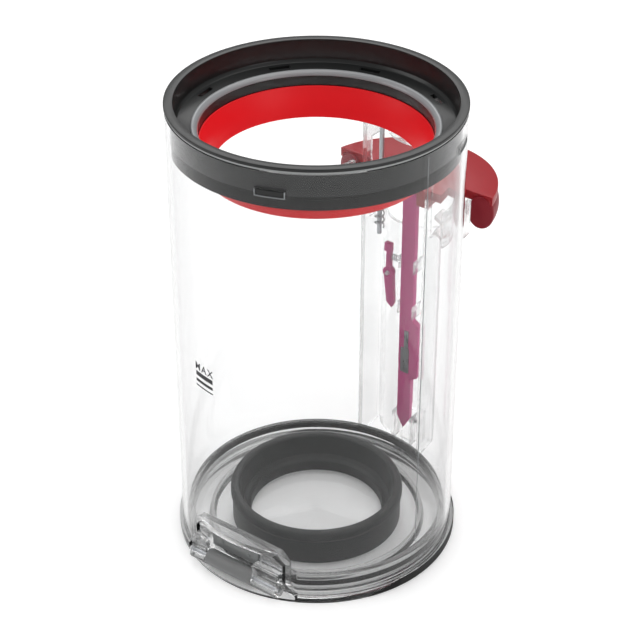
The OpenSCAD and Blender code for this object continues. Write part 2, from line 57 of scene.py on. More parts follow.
# %% [markdown]
# ## The view and the room
# The bin stands on a white table and is seen from a little above, with the hinge to the left and the lever
# to the right. A long lens about 0.8 m away keeps the tube's sides nearly parallel. The eye is placed by
# its azimuth and height, and looks at the tube's middle.

# %% Camera
EYE_AZIMUTH = math.radians(37.0)
EYE_PITCH = math.radians(32.47)
EYE_DISTANCE = 645.8 * MM
EYE_HEIGHT = 511.6 * MM
SENSOR = 36.0

camera_data = bpy.data.cameras.new("eye")
camera_data.sensor_width = SENSOR
camera_data.lens = 104.67
camera_data.shift_x = 0.0055
camera_data.clip_start = 10 * MM
camera = bpy.data.objects.new("eye", camera_data)
bpy.context.scene.collection.objects.link(camera)
camera.location = (
    EYE_DISTANCE * math.sin(EYE_AZIMUTH),
    -EYE_DISTANCE * math.cos(EYE_AZIMUTH),
    EYE_HEIGHT,
)
camera.rotation_euler = (math.pi / 2 - EYE_PITCH, 0, EYE_AZIMUTH)
bpy.context.scene.camera = camera
print("camera at", [round(v, 3) for v in camera.location])

# %% [markdown]
# The room is a white sweep: a floor, a sky that is bright above and greyer near the horizon, and two large
# soft lamps. Clear plastic has no colour of its own, so what it shows is the room. The darker band low in
# the sky is what draws the grey lines along the edges of the clear pieces.

# %% Floor, sky and lamps
def select_none():
    """Nothing is selected afterwards, so that the next operator acts on its own new piece only."""
    bpy.ops.object.select_all(action="DESELECT")


def hold(piece):
    """Makes a piece the only selected one and the active one."""
    select_none()
    piece.select_set(True)
    bpy.context.view_layer.objects.active = piece


FLOOR_SIZE = 6.0
FLOOR_DROP = 0.2 * MM
select_none()
bpy.ops.mesh.primitive_plane_add(size=FLOOR_SIZE, location=(0, 0, -FLOOR_DROP))
floor = bpy.context.active_object
floor.name = "floor"

scene = bpy.context.scene
scene.view_settings.view_transform = "Standard"

world = bpy.data.worlds.new("room")
scene.world = world
world.use_nodes = True
sky = world.node_tree
sky.nodes.clear()
sky_out = sky.nodes.new("ShaderNodeOutputWorld")
sky_light = sky.nodes.new("ShaderNodeBackground")
sky_place = sky.nodes.new("ShaderNodeTexCoord")
sky_height = sky.nodes.new("ShaderNodeSeparateXYZ")
sky_ramp = sky.nodes.new("ShaderNodeValToRGB")
sky.links.new(sky_place.outputs["Generated"], sky_height.inputs[0])
sky.links.new(sky_height.outputs["Z"], sky_ramp.inputs["Fac"])
sky.links.new(sky_ramp.outputs["Color"], sky_light.inputs["Color"])
sky.links.new(sky_light.outputs["Background"], sky_out.inputs["Surface"])
SKY_STOPS = ((0.0, 0.7), (0.08, 0.5), (0.3, 0.8), (0.6, 1.0))
SKY_STRENGTH = 0.5
while len(sky_ramp.color_ramp.elements) < len(SKY_STOPS):
    sky_ramp.color_ramp.elements.new(0.5)
for stop, (place, grey) in zip(sky_ramp.color_ramp.elements, SKY_STOPS):
    stop.position = place
    stop.color = (grey, grey, grey, 1)
sky_light.inputs["Strength"].default_value = SKY_STRENGTH


def soft_lamp(name, place, aim, size, power):
    """A square soft lamp at a place, turned towards a point; its size is in metres, its power in watts."""
    lamp_data = bpy.data.lights.new(name, "AREA")
    lamp_data.size = size
    lamp_data.energy = power
    lamp = bpy.data.objects.new(name, lamp_data)
    scene.collection.objects.link(lamp)
    lamp.location = place
    lamp.rotation_euler = (Vector(aim) - Vector(place)).to_track_quat("-Z", "Y").to_euler()


TUBE_MIDDLE = (0, 0, 0.1)
TUBE_TOP = (0, 0, 0.18)
soft_lamp("top_lamp", (0.1, 0.3, 1.3), TUBE_MIDDLE, 1.2, 7.2)
soft_lamp("left_lamp", (-0.9, -0.7, 0.8), TUBE_MIDDLE, 0.7, 3.2)
soft_lamp("back_lamp", (-0.57, 0.76, 0.98), TUBE_TOP, 0.6, 2.5)
soft_lamp("right_lamp", (1.1, -0.1, 0.7), TUBE_MIDDLE, 0.5, 1.8)
print("room ready")

# %% [markdown]
# ## Writing finishes as sums
# A finish is a small calculation: noise, bands and spots are added and multiplied into a colour, a roughness
# and a bump. Written as a Python expression it reads like the sum it is. `Field` wraps one socket and turns
# +, * and ** into Math nodes, and `Paint` makes any other node from its type, its settings and its inputs.

# %% Field and Paint
class Field:
    """A number that changes over a surface, on which Python arithmetic adds Math nodes."""

    def __init__(self, paint, socket):
        self.paint = paint
        self.socket = socket

    def sum(self, operation, first, second):
        return self.paint.node("ShaderNodeMath", {"operation": operation}, {0: first, 1: second})

    def __add__(self, other):
        return self.sum("ADD", self, other)

    __radd__ = __add__

    def __mul__(self, other):
        return self.sum("MULTIPLY", self, other)

    __rmul__ = __mul__

    def __pow__(self, other):
        return self.sum("POWER", self, other)

    def above(self, low, high):
        """0 below low, 1 above high and a soft step between."""
        settings = {"interpolation_type": "SMOOTHSTEP", "clamp": True}
        return self.paint.node(
            "ShaderNodeMapRange", settings, {"Value": self, "From Min": low, "From Max": high}
        )


class Paint:
    """One material and the nodes behind it."""

    def __init__(self, name):
        self.material = bpy.data.materials.new(name)
        self.material.use_nodes = True
        self.tree = self.material.node_tree
        self.tree.nodes.clear()

    def node(self, kind, settings=None, sockets=None, output=0):
        """Adds a node, sets it up first, feeds its sockets with values or Fields, and gives one output."""
        node = self.tree.nodes.new(kind)
        for key, value in (settings or {}).items():
            setattr(node, key, value)
        for key, value in (sockets or {}).items():
            if isinstance(value, Field):
                self.tree.links.new(value.socket, node.inputs[key])
            else:
                node.inputs[key].default_value = value
        return Field(self, node.outputs[output])

    def place(self):
        """The point on the piece, in metres."""
        return self.node("ShaderNodeTexCoord", output="Object")

    def noise(self, size, detail=2.0, stretch=(1, 1, 1)):
        """Cloudy noise from 0 to 1 whose patches are about size across, in metres."""
        spread = self.node(
            "ShaderNodeVectorMath", {"operation": "MULTIPLY"}, {0: self.place(), 1: stretch}
        )
        return self.node(
            "ShaderNodeTexNoise", None, {"Vector": spread, "Scale": 1 / size, "Detail": detail}
        )

    def mix(self, share, first, second):
        """A colour between two colours."""
        settings = {"data_type": "RGBA"}
        return self.node("ShaderNodeMix", settings, {0: share, 6: first, 7: second}, output=2)

    def bump(self, height, depth, strength=1.0):
        """A normal from a height field, where 1 stands depth metres proud."""
        sockets = {"Strength": strength, "Distance": depth, "Height": height}
        return self.node("ShaderNodeBump", None, sockets, output="Normal")

    def surface(self, **sockets):
        """The one Principled shader, with its sockets named in Python's way."""
        named = {key.replace("_", " "): value for key, value in sockets.items()}
        return self.node("ShaderNodeBsdfPrincipled", None, named)

    def show(self, shader, inside=None):
        """Puts a shader on the surface and, for clear plastic, an absorbing one inside."""
        output = self.tree.nodes.new("ShaderNodeOutputMaterial")
        self.tree.links.new(shader.socket, output.inputs["Surface"])
        if inside:
            self.tree.links.new(inside.socket, output.inputs["Volume"])
        return self.material


def colour(red, green, blue):
    """A colour given as it looks on a screen, 0 to 255, as the light it stands for."""
    light = [v / 255 / 12.92 if v <= 10 else ((v / 255 + 0.055) / 1.055) ** 2.4 for v in (red, green, blue)]
    return (*light, 1)


# %% [markdown]
# ### Moulded plastic and rubber
# Injection-moulded plastic is never quite even: its colour clouds a little, its skin has a very fine grain,
# and handling rubs faint dull patches into the gloss. Rubber is the same with a coarser skin and no gloss.
# One function makes them all, so that each finish is only a few numbers.

# %% Moulded finishes
CLOUD_SIZE = 30 * MM
RUB_SIZE = 9 * MM
SCRATCH_SIZE = 1.2 * MM
UPRIGHT = (1, 1, 0.08)
RUB = 0.06
FINE_GRAIN = 0.002 * MM


def moulded(name, tone, rough, grain=1.2 * MM, grain_depth=FINE_GRAIN, coat=0.0, cloud=0.08):
    """Opaque moulded plastic or rubber with grain, clouds, rubbed patches and fine upright scratches."""
    paint = Paint(name)
    clouds = paint.noise(CLOUD_SIZE, 3)
    rubbed = paint.noise(RUB_SIZE, 5).above(0.5, 0.75)
    scratches = paint.noise(SCRATCH_SIZE, 2, UPRIGHT).above(0.66, 0.72)
    darker = [v * (1 - cloud) for v in tone[:3]] + [1]
    lighter = [min(1, v * (1 + cloud)) for v in tone[:3]] + [1]
    skin = paint.noise(grain, 2)
    return paint.show(
        paint.surface(
            Base_Color=paint.mix(clouds, darker, lighter),
            Roughness=rough + RUB * rubbed + 0.3 * RUB * scratches,
            Normal=paint.bump(skin, grain_depth, 0.6),
            Specular_IOR_Level=0.28,
            Coat_Weight=coat,
            Coat_Roughness=0.12,
        )
    )


collar_plastic = moulded("collar_plastic", colour(28, 29, 29), 0.32, coat=0.15)
bead_plastic = moulded("bead_plastic", colour(142, 144, 146), 0.22, coat=0.5)
# Pale grey is a painted highlight here: on the gasket it stands for the glint along the tube's top edge.
pale_glint_rubber = moulded("pale_glint_rubber", colour(168, 170, 170), 0.4)
gasket_rubber = moulded("gasket_rubber", colour(12, 12, 12), 0.55, 1.5 * MM, 0.004 * MM)
wiper_rubber = moulded("wiper_rubber", colour(240, 20, 30), 0.42, 1.4 * MM, cloud=0.05)
seal_rubber = moulded("seal_rubber", colour(34, 36, 36), 0.45, 1.4 * MM)
lever_plastic = moulded("lever_plastic", colour(164, 26, 36), 0.38, cloud=0.05)
rod_plastic = moulded("rod_plastic", colour(204, 52, 134), 0.4, cloud=0.05)
# The thumb pads' red is the lever's red made darker: painted shade on the pads.
pad_shade_plastic = moulded("pad_shade_plastic", colour(138, 28, 40), 0.42, cloud=0.05)
# The hinge pad's grey is a painted reflection: a grey plate on the recess's flat wall, where the dark seal
# is seen reflected.
hinge_pad_reflection_grey = moulded("hinge_pad_reflection_grey", colour(120, 122, 122), 0.35)
barrel_plastic = moulded("barrel_plastic", colour(122, 123, 123), 0.35)
print("moulded finishes ready")

# %% [markdown]
# ### Steel
# The pins, the springs and the clip are drawn or stamped steel: bright, with fine lines along the wire.

# %% Steel
LINE_SIZE = 0.6 * MM


def drawn_steel(name):
    """Bright steel with lines along the wire, which set its tone, its gloss and its grooves alike."""
    paint = Paint(name)
    lines = paint.noise(LINE_SIZE, 3, (1, 1, 0.1))
    return paint.show(
        paint.surface(
            Base_Color=paint.mix(lines, colour(150, 152, 155), colour(196, 198, 202)),
            Metallic=1.0,
            Roughness=0.22 + 0.15 * lines,
            Normal=paint.bump(lines, 0.004 * MM),
        )
    )


steel = drawn_steel("steel")

# %% [markdown]
# ### Clear plastic
# Clear plastic bends light like glass, here a little less, so that its veil of reflections stays thin. Light
# from a lamp has to pass straight through it, or the bin's inside would lie in a dark shadow that the real,
# light-focusing plastic doesn't have. So a ray that looks for a lamp meets a transparent shader, and every
# other ray meets the real one. Inside the wall a little light is lost with each millimetre, so the plastic
# turns grey where it is seen edge on. Use leaves fine rub marks that run up and down, where the bin slides
# on its machine.

# %% Clear plastic
EDGE_POWER = 2.5
PLASTIC_IOR = 1.3
GLOSS = 0.004
RUB_MARK_SIZE = 1.6 * MM
HAZE_SIZE = 12 * MM


def clear(name, tint, loss, edge, calm=0.0):
    """Clear moulded plastic with faint rub marks.

    Loss is how strongly it absorbs light, per metre, and edge is the grey that it takes where it is seen
    edge on. In narrow walls a calm share of the light goes straight through, because light trapped between
    their faces would turn black."""
    paint = Paint(name)
    rubs = paint.noise(RUB_MARK_SIZE, 4, (1, 1, 0.06)).above(0.6, 0.75)
    haze = paint.noise(HAZE_SIZE, 3)
    edge_on = paint.node("ShaderNodeLayerWeight", None, {"Blend": 0.5}, output="Facing") ** EDGE_POWER
    body = paint.mix(haze, [v * 0.985 for v in tint[:3]] + [1], tint)
    bent = paint.surface(
        Base_Color=paint.mix(edge_on, body, (edge, edge, edge * 1.01, 1)),
        Roughness=GLOSS + 0.003 * haze + 0.006 * rubs,
        Normal=paint.bump(haze, 0.02 * MM, 0.5),
        IOR=PLASTIC_IOR,
        Transmission_Weight=1.0,
    )
    straight = paint.node("ShaderNodeBsdfTransparent", None, {"Color": (0.97, 0.97, 0.97, 1)})
    lamp_ray = paint.node("ShaderNodeLightPath", output="Is Shadow Ray")
    share = lamp_ray * (1 - calm) + calm
    either = paint.node("ShaderNodeMixShader", None, {0: share, 1: bent, 2: straight})
    grey = paint.node("ShaderNodeVolumeAbsorption", None, {"Color": (0, 0, 0, 1), "Density": loss})
    return paint.show(either, grey)


tube_plastic = clear("tube_plastic", (0.98, 0.983, 0.983, 1), 5, 0.68)
base_plastic = clear("base_plastic", (0.955, 0.96, 0.96, 1), 75, 0.2)
rail_plastic = clear("rail_plastic", (0.975, 0.98, 0.98, 1), 3, 0.8, 0.35)
ear_plastic = clear("ear_plastic", (0.98, 0.985, 0.985, 1), 5, 0.9, 0.12)


def white_table():
    """A matt white table top that glows a little, so that it stays white beside the bright lamps."""
    paint = Paint("white_table")
    clouds = paint.noise(150 * MM, 2)
    return paint.show(
        paint.surface(
            Base_Color=paint.mix(clouds, (0.96, 0.96, 0.96, 1), (0.98, 0.98, 0.98, 1)),
            Roughness=0.6 + 0.05 * clouds,
            Emission_Color=(1, 1, 1, 1),
            Emission_Strength=0.2,
        )
    )


floor.data.materials.append(white_table())
print("clear finishes ready")

# %% [markdown]
# ## Softened pieces
# A CAD solid has knife edges, and a moulded piece never does: its edges are rounded so that it leaves the
# mould, and they catch the light. Each rigid piece is copied from its CAD node, its loose triangles are
# joined, flat areas are dissolved back into single faces, and a small bevel rounds what is sharp. The copy
# then stands for the node, in the node's own place.

# %% Soften one node
def smooth(piece, angle=30):
    """Shades a piece smooth, except across edges sharper than an angle in degrees."""
    hold(piece)
    bpy.ops.object.shade_smooth_by_angle(angle=math.radians(angle))


def bevelled(piece, width, segments=2, sharp=40):
    """Rounds a piece's edges that are sharper than an angle in degrees."""
    edge = piece.modifiers.new("edge", "BEVEL")
    edge.width = width
    edge.segments = segments
    edge.limit_method = "ANGLE"
    edge.angle_limit = math.radians(sharp)
    hold(piece)
    bpy.ops.object.modifier_apply(modifier=edge.name)


def dress(piece, body, slot, finish, *nodes):
    """Gives a finished piece its material, its body and the nodes that it stands for. The slot is not used.
    """
    piece.data.materials.clear()
    piece.data.materials.append(finish)
    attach(piece, body)
    if nodes:
        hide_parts(*nodes)


SLOT = {part["node"]: part["material_slot"] for part in frame["record"]["subparts"]}
BODY = {node: body for body, nodes in frame["record"]["behaviour"]["bodies"].items() for node in nodes}
WELD = 0.002 * MM
FLAT_ANGLE = 0.5
CAD_SHARP = 32


def softened(node, finish, edge):
    """A copy of a CAD node with edges rounded to a width, which replaces the node."""
    cad = frame["nodes"][node]
    piece = bpy.data.objects.new(node + "_soft", cad.data.copy())
    scene.collection.objects.link(piece)
    hold(piece)
    bpy.ops.object.mode_set(mode="EDIT")
    bpy.ops.mesh.select_all(action="SELECT")
    bpy.ops.mesh.remove_doubles(threshold=WELD)
    bpy.ops.mesh.dissolve_limited(angle_limit=math.radians(FLAT_ANGLE))
    bpy.ops.object.mode_set(mode="OBJECT")
    if edge:
        bevelled(piece, edge, sharp=CAD_SHARP)
    smooth(piece)
    dress(piece, BODY[node], SLOT[node], finish, node)
    return piece


SOFT = {
    "rod_guides": (rail_plastic, 0.15 * MM),
    "lever_ears": (rail_plastic, 0.3 * MM),
    # hinge pad: grey plate as a painted reflection of the dark seal
    "hinge_pad": (hinge_pad_reflection_grey, 0.25 * MM),
    "lock_pin": (rail_plastic, 0.2 * MM),
    "catch_housing": (rail_plastic, 0.2 * MM),
    "door_knuckle": (barrel_plastic, 0.3 * MM),
    "edge_seal": (gasket_rubber, 0),
    "door_striker": (steel, 0.15 * MM),
    "release_lever": (lever_plastic, 0.5 * MM),
    # thumb pads: darker red as painted shade
    "thumb_pads": (pad_shade_plastic, 0.6 * MM),
    "release_rod": (rod_plastic, 0.3 * MM),
    "lock_lever": (rod_plastic, 0.25 * MM),
    "catch_rocker": (rail_plastic, 0.15 * MM),
}
pieces = {node: softened(node, finish, edge) for node, (finish, edge) in SOFT.items()}
print("softened:", {node: len(piece.data.polygons) for node, piece in pieces.items()})

# %% [markdown]
# ## Turned pieces
# The tube, the collar, the wiper and the seal are round: on the real bin each comes out of a round mould.
# They are made as on a lathe. A circle with one vertex per corner is laid out as the outline, its corners
# are rounded by a vertex bevel, and the spin operator turns it round the bin's axis. A fine, even ring of
# faces matters most for the clear pieces, because light bends wherever a face is uneven.

# %% Turn an outline
TURNS = 240
CORNER_STEPS = 3


def outline_ring(name, corners, rounding):
    """A flat closed loop through corners, with its corners rounded, left in edit mode and selected."""
    select_none()
    bpy.ops.mesh.primitive_circle_add(vertices=len(corners), radius=0.01)
    piece = bpy.context.active_object
    piece.name = name
    for vertex, corner in zip(piece.data.vertices, corners):
        vertex.co = corner
    bpy.ops.object.mode_set(mode="EDIT")
    bpy.ops.mesh.select_all(action="SELECT")
    if rounding:
        bpy.ops.mesh.bevel(offset=rounding, segments=CORNER_STEPS, affect="VERTICES", clamp_overlap=True)
        bpy.ops.mesh.select_all(action="SELECT")
    return piece


def turned(name, outline, rounding=0.3 * MM):
    """Turns an outline of (radius, height) corners round the bin's axis."""
    piece = outline_ring(name, [(r, 0, z) for r, z in outline], rounding)
    bpy.ops.mesh.spin(steps=TURNS, angle=math.tau, center=(0, 0, 0), axis=(0, 0, 1), use_auto_merge=True)
    bpy.ops.mesh.select_all(action="SELECT")
    bpy.ops.mesh.remove_doubles(threshold=WELD)
    bpy.ops.mesh.normals_make_consistent(inside=False)
    bpy.ops.object.mode_set(mode="OBJECT")
    smooth(piece, 40)
    return piece


def extruded(name, corners, travel):
    """Fills a flat outline of (x, y, z) corners and draws it out along a travel to a closed solid."""
    piece = outline_ring(name, corners, 0)
    bpy.ops.mesh.edge_face_add()
    bpy.ops.mesh.extrude_region_move(TRANSFORM_OT_translate={"value": travel})
    bpy.ops.mesh.select_all(action="SELECT")
    bpy.ops.mesh.normals_make_consistent(inside=False)
    bpy.ops.object.mode_set(mode="OBJECT")
    return piece


def block(low, high):
    """A plain box between two corners, used as a cutter or as a start."""
    select_none()
    middle = [(a + b) / 2 for a, b in zip(low, high)]
    bpy.ops.mesh.primitive_cube_add(size=1, location=middle, scale=[b - a for a, b in zip(low, high)])
    bpy.ops.object.transform_apply(location=True, rotation=True, scale=True)
    return bpy.context.active_object


def combine(piece, other, operation="DIFFERENCE"):
    """Cuts, joins or crosses a piece with another one, which is used up."""
    change = piece.modifiers.new("change", "BOOLEAN")
    change.operation = operation
    change.solver = "EXACT"
    change.object = other
    hold(piece)
    bpy.ops.object.modifier_apply(modifier=change.name)
    bpy.data.objects.remove(other)


def arc_strip(name, inner, outer, low, high, start, end, steps=32):
    """A closed strip of a ring between two azimuths in degrees, counted from -Y towards +X.

    The spin operator turns towards lower azimuths, so the strip begins at its end."""
    first = math.radians(end)
    corners = [(inner, low), (outer, low), (outer, high), (inner, high)]
    piece = outline_ring(name, [(r * math.sin(first), -r * math.cos(first), z) for r, z in corners], 0)
    bpy.ops.mesh.spin(steps=steps, angle=math.radians(end - start), center=(0, 0, 0), axis=(0, 0, 1))
    bpy.ops.mesh.select_all(action="SELECT")
    bpy.ops.mesh.fill_holes(sides=0)
    bpy.ops.mesh.select_all(action="SELECT")
    bpy.ops.mesh.normals_make_consistent(inside=False)
    bpy.ops.object.mode_set(mode="OBJECT")
    smooth(piece)
    return piece


# %% [markdown]
# ## The clear tube
# The tube is one clear moulding: a plain cylinder with a flat recess low on the hinge side. The recess has a
# flat back wall, sloped upper corners and two ears that carry the hinge pin. The cylinder is turned, the
# recess is cut through it, and the back wall is set in.

# %% Tube
tube_low, tube_high = (corner.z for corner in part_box("bin_tube"))
tube_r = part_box("bin_tube")[1].x
TUBE_WALL = 2 * MM
tube_in = tube_r - TUBE_WALL
RECESS_HALF = 23 * MM
RECESS_FLARE = 4.6 * MM
RECESS_TOP = 21 * MM
RECESS_SLOPE = 4 * MM
RECESS_Y = -51.6 * MM
RECESS_WALL = 1.8 * MM
RECESS_BAND = 30 * MM
RECESS_RIM = 1.6 * MM
FLARE_TOP = tube_low + 5.5 * MM
BEYOND = 70 * MM  # farther from the axis than the tube, for the ends of cutters
BESIDE = 40 * MM  # wider than the recess and the runner

tube = turned(
    "clear_tube",
    [(tube_r, tube_low), (tube_r, RECESS_BAND), (tube_r, tube_high),
     (tube_in, tube_high), (tube_in, RECESS_BAND), (tube_in, tube_low)],
    0,
)


def recess_outline(grow=0.0):
    """The recess as seen from the hinge side, as (x, z) corners."""
    half = RECESS_HALF + grow
    top = RECESS_TOP + grow
    right = [(half + RECESS_FLARE, tube_low - 2 * MM), (half + RECESS_FLARE, tube_low), (half, FLARE_TOP),
             (half, top - RECESS_SLOPE), (half - RECESS_SLOPE, top)]
    return right + [(-x, z) for x, z in reversed(right)]


def recess_prism(grow, near, far):
    """The recess outline as a solid between two distances along Y."""
    return extruded("recess", [(x, far, z) for x, z in recess_outline(grow)], (0, near - far, 0))


combine(tube, recess_prism(0, -BEYOND, RECESS_Y))
TAB_FIRST = 20
TAB_COUNT = 4
TAB_HALF = 5.7 * MM
TAB_T = 2.5 * MM
TAB_GAP = 0.3 * MM
TAB_DOWN = 12.6 * MM
tab_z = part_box("collar_ring")[1].z - TAB_DOWN
for turn in range(TAB_COUNT):
    window = block(
        (-TAB_HALF - TAB_GAP, -tube_r - 1 * MM, tab_z - TAB_GAP),
        (TAB_HALF + TAB_GAP, -tube_in + 1 * MM, tab_z + TAB_T + TAB_GAP),
    )
    window.rotation_euler.z = math.radians(TAB_FIRST + 360 / TAB_COUNT * turn)
    combine(tube, window)
back_wall = recess_prism(RECESS_RIM, RECESS_Y - 6 * MM, RECESS_Y + RECESS_WALL)
combine(back_wall, recess_prism(0, -BEYOND, RECESS_Y))
combine(back_wall, block((-BESIDE, -BEYOND, tube_low - 3 * MM), (BESIDE, -BESIDE, tube_low)))
select_none()
bpy.ops.mesh.primitive_cylinder_add(
    vertices=TURNS, radius=tube_in - SLIVER, depth=100 * MM, location=(0, 0, 30 * MM)
)
combine(back_wall, bpy.context.active_object, "INTERSECT")
smooth(back_wall)
dress(back_wall, "bin", "clear", ear_plastic)
back_wall.name = "recess_wall"
smooth(tube)
dress(tube, "bin", "clear", tube_plastic, "bin_tube")
print("tube faces:", len(tube.data.polygons))

# %% [markdown]
# Each ear is a round barrel round the hinge pin with a web up to the recess's back wall. In the clear
# moulding they look like small blocks of ice.

# %% Hinge ears
pin_low, pin_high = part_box("hinge_pin")
hinge_y = (pin_low.y + pin_high.y) / 2
hinge_z = (pin_low.z + pin_high.z) / 2
BARREL_R = 3.6 * MM
PIN_R = 1.2 * MM
EAR_TOP = 13.5 * MM
EAR_GAP = 0.3 * MM
WEB_REACH = 2 * MM
barrel_low, barrel_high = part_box("door_knuckle")


def hinge_round(radius, middle, length, sides):
    """A cylinder round the hinge's axis, which runs along X."""
    select_none()
    bpy.ops.mesh.primitive_cylinder_add(
        vertices=sides, radius=radius, depth=length,
        location=(middle, hinge_y, hinge_z), rotation=(0, math.pi / 2, 0),
    )
    bpy.ops.object.transform_apply(location=True, rotation=True, scale=True)
    return bpy.context.active_object


def hinge_ear(name, left, right):
    """A barrel along X with a web behind it, bored for the pin."""
    ear = block((left, hinge_y - WEB_REACH, hinge_z), (right, RECESS_Y - SLIVER, EAR_TOP))
    middle = (left + right) / 2
    combine(ear, hinge_round(BARREL_R, middle, right - left, 48), "UNION")
    bevelled(ear, 0.5 * MM, sharp=50)
    combine(ear, hinge_round(PIN_R + SLIVER, middle, 2 * (right - left), 32))
    ear.name = name
    smooth(ear, 25)
    dress(ear, "bin", "clear", ear_plastic)


hinge_ear("hinge_ear_left", pin_low.x, barrel_low.x - EAR_GAP)
hinge_ear("hinge_ear_right", barrel_high.x + EAR_GAP, pin_high.x)

# %% [markdown]
# ## The collar
# The collar closes the tube's top. From outside in it has a flat rim, a short wall, a ledge with slots for
# the machine's hooks, a pale rounded bead, and a hub that carries the soft red wiper. Its skirt hangs inside
# the tube in two steps, which show through the clear wall as a grey band over a darker one.

# %% Collar
rim_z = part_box("collar_ring")[1].z
rim_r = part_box("collar_ring")[1].x
skirt_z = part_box("collar_ring")[0].z
RIM_T = 1.3 * MM
RIM_W = 3.7 * MM
mouth_r = rim_r - RIM_W
skirt_r = tube_in - 0.2 * MM
ledge_z = rim_z - 9.8 * MM
band_z = ledge_z - 2.6 * MM
BAND_STEP = 0.6 * MM
SKIRT_WALL = 1.5 * MM
LEDGE_T = 2.3 * MM
bead_out = mouth_r - 6.3 * MM
bead_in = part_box("wiper_collar")[1].x - 1.8 * MM
hub_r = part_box("wiper_collar")[1].x + 0.08 * MM
hub_low = ledge_z - 7 * MM
neck_r = skirt_r + 1 * MM

collar = turned(
    "collar",
    [(mouth_r, rim_z), (rim_r, rim_z), (rim_r, rim_z - RIM_T), (neck_r, rim_z - RIM_T),
     (neck_r, tube_high + 0.2 * MM), (skirt_r, tube_high + 0.2 * MM), (skirt_r, band_z),
     (skirt_r - BAND_STEP, band_z), (skirt_r - BAND_STEP, skirt_z),
     (skirt_r - BAND_STEP - SKIRT_WALL, skirt_z), (skirt_r - BAND_STEP - SKIRT_WALL, ledge_z - LEDGE_T),
     (hub_r, ledge_z - LEDGE_T - 0.4 * MM), (hub_r, hub_low), (bead_in, hub_low),
     (bead_in, ledge_z - 2.2 * MM), (bead_out, ledge_z - 1 * MM), (mouth_r - 1 * MM, ledge_z),
     (mouth_r, ledge_z + 1.3 * MM)],
    0.25 * MM,
)
SLOT_COUNT = 8
SLOT_FIRST = 150
SLOT_PITCH = 42
SLOT_LENGTH = 8.6 * MM
SLOT_WIDTH = 1.6 * MM
slot_y = -mouth_r + 2.6 * MM
for turn in range(SLOT_COUNT):
    slot = block(
        (-SLOT_LENGTH / 2, slot_y, ledge_z - LEDGE_T - 1 * MM),
        (SLOT_LENGTH / 2, slot_y + SLOT_WIDTH, ledge_z + 1 * MM),
    )
    slot.rotation_euler.z = math.radians(SLOT_FIRST + turn * SLOT_PITCH)
    combine(collar, slot)
smooth(collar, 40)
dress(collar, "bin", "collar", collar_plastic, "collar_ring")
print("collar faces:", len(collar.data.polygons), "ledge at", round(ledge_z, 4))

# %% [markdown]
# Four small tabs on the collar snap into windows in the tube. A window's cut faces catch the light, so
# each one gets a thin pale strip along its left, right and lower sides: a painted highlight.

# %% Tabs and windows
tab_angle = math.degrees(TAB_HALF / tube_r)
gap_angle = math.degrees((TAB_HALF + TAB_GAP) / tube_r)
LEFT_LINE = 0.35
RIGHT_LINE = 0.5
for turn in range(TAB_COUNT):
    middle = TAB_FIRST + 360 / TAB_COUNT * turn
    tab = arc_strip(
        "collar_tab_%d" % turn, skirt_r - 0.4 * MM, tube_r - 0.3 * MM, tab_z, tab_z + TAB_T,
        middle - tab_angle, middle + tab_angle, 12,
    )
    bevelled(tab, 0.25 * MM)
    dress(tab, "bin", "collar", collar_plastic)
    for side, first, last, low, high in (
        ("left", middle - gap_angle, middle - gap_angle + LEFT_LINE, tab_z, tab_z + TAB_T),
        ("right", middle + gap_angle - RIGHT_LINE, middle + gap_angle, tab_z, tab_z + TAB_T),
        ("low", middle - gap_angle, middle + gap_angle, tab_z - TAB_GAP, tab_z - SLIVER),
    ):
        # painted highlight: a pale strip where the window's cut face glints
        line = arc_strip("window_glint_%s_%d" % (side, turn), tube_in, tube_r, low, high, first, last, 8)
        dress(line, "bin", "clear", bead_plastic)
print("tab at", round(tab_z, 4))

# %% [markdown]
# Three soft or pale rings finish the collar: a black rubber band round the skirt's lower step, the light
# bead on the ledge's inner edge, and the gasket that seals the rim on the tube. The gasket's pale grey is a
# painted highlight that stands for the glint along the tube's top edge.

# %% Band, bead and gasket
BAND_T = 0.5 * MM
band_in = skirt_r - BAND_STEP
skirt_band = turned(
    "skirt_band",
    [(band_in, skirt_z + 0.2 * MM), (band_in + BAND_T, skirt_z + 0.2 * MM),
     (band_in + BAND_T, band_z - 0.1 * MM), (band_in, band_z - 0.1 * MM)],
    0.12 * MM,
)
dress(skirt_band, "bin", "gasket", gasket_rubber)

bead_z = ledge_z - 1 * MM
bead_mid = (bead_out + bead_in) / 2
bead_half = (bead_out - bead_in) / 2
BEAD_HEIGHT = 1.1 * MM
BEAD_TILT = 0.6 * MM
BEAD_STEPS = 12
bead = turned(
    "collar_bead",
    [(bead_mid + bead_half * math.cos(a),
      bead_z - BEAD_TILT * (1 - math.cos(a)) + BEAD_HEIGHT * math.sin(a))
     for a in (math.pi * i / BEAD_STEPS for i in range(BEAD_STEPS + 1))],
    0,
)
dress(bead, "bin", "lip", bead_plastic, "collar_lip")

gasket_in = neck_r + SLIVER
gasket_out = rim_r - 0.5 * MM
gasket = turned(
    "gasket",
    [(gasket_in, tube_high + 0.1 * MM), (gasket_out, tube_high + 0.1 * MM),
     (gasket_out, rim_z - RIM_T), (gasket_in, rim_z - RIM_T)],
    0.2 * MM,
)
dress(gasket, "bin", "lip", pale_glint_rubber, "collar_gasket")
print("bead from", round(bead_in, 4), "to", round(bead_out, 4))

# %% [markdown]
# The wiper is a tapered sleeve of soft red rubber. It hugs the machine's mesh shroud and scrapes it clean
# as the bin slides off, so it ends in a thin lip.

